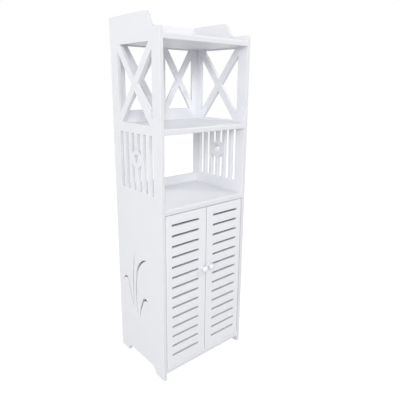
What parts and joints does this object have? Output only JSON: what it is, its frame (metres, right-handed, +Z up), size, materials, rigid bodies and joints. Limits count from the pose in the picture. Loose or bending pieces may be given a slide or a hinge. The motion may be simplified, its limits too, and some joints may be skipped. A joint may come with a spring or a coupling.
{
  "type": "bathroom cabinet",
  "caption": "Tall white bathroom storage tower: carved board sides, open shelves with crossed braces and slats above a cupboard with slotted swing doors and round knobs.",
  "frame": {"origin": "on the floor, under the middle of the whole cabinet with its knobs", "axes": "+Z up, the doors face -Y, and +X is to the right for someone who faces the doors"},
  "size_m": [0.306, 0.254, 1],
  "materials": {
    "white_board": "smooth satin white foam board",
    "white_knob": "glossy white",
    "steel": "zinc-plated",
    "bush_nylon": "natural white nylon",
    "catch_plastic": "moulded white plastic",
    "magnet": "dark sintered ferrite",
    "dowel_wood": "plain turned beech"
  },
  "bodies": {
    "carcass": {"left_side_panel": "white_board", "right_side_panel": "white_board", "top_shelf": "white_board", "middle_shelf": "white_board", "cupboard_top": "white_board", "inner_shelf": "white_board", "bottom_board": "white_board", "upper_back_panel": "white_board", "lower_back_panel": "white_board", "gallery_rail": "white_board", "top_shelf_dowels": "dowel_wood", "middle_shelf_dowels": "dowel_wood", "cupboard_top_dowels": "dowel_wood", "bottom_board_dowels": "dowel_wood", "gallery_rail_dowels": "dowel_wood", "upper_back_dowels": "dowel_wood", "lower_back_dowels": "dowel_wood", "left_upper_pivot_bush": "bush_nylon", "left_lower_pivot_bush": "bush_nylon", "right_upper_pivot_bush": "bush_nylon", "right_lower_pivot_bush": "bush_nylon", "shelf_pegs": "steel", "catch_housing": "catch_plastic", "catch_magnets": "magnet", "catch_screws": "steel"},
    "left_door_leaf": {"left_door": "white_board", "left_knob": "white_knob", "left_knob_screw": "steel", "left_strike_plate": "steel", "left_plate_screw": "steel", "left_upper_pivot_pin": "steel", "left_lower_pivot_pin": "steel"},
    "right_door_leaf": {"right_door": "white_board", "right_knob": "white_knob", "right_knob_screw": "steel", "right_strike_plate": "steel", "right_plate_screw": "steel", "right_upper_pivot_pin": "steel", "right_lower_pivot_pin": "steel"}
  },
  "joints": [
    {"name": "left_door_hinge", "type": "hinge", "parent": "carcass", "child": "left_door_leaf", "pos_m": [-0.132, -0.103, 0.2665], "axis": [0, 0, -1], "range_deg": [0, 110]},
    {"name": "right_door_hinge", "type": "hinge", "parent": "carcass", "child": "right_door_leaf", "pos_m": [0.132, -0.103, 0.2665], "axis": [0, 0, 1], "range_deg": [0, 110]}
  ]
}
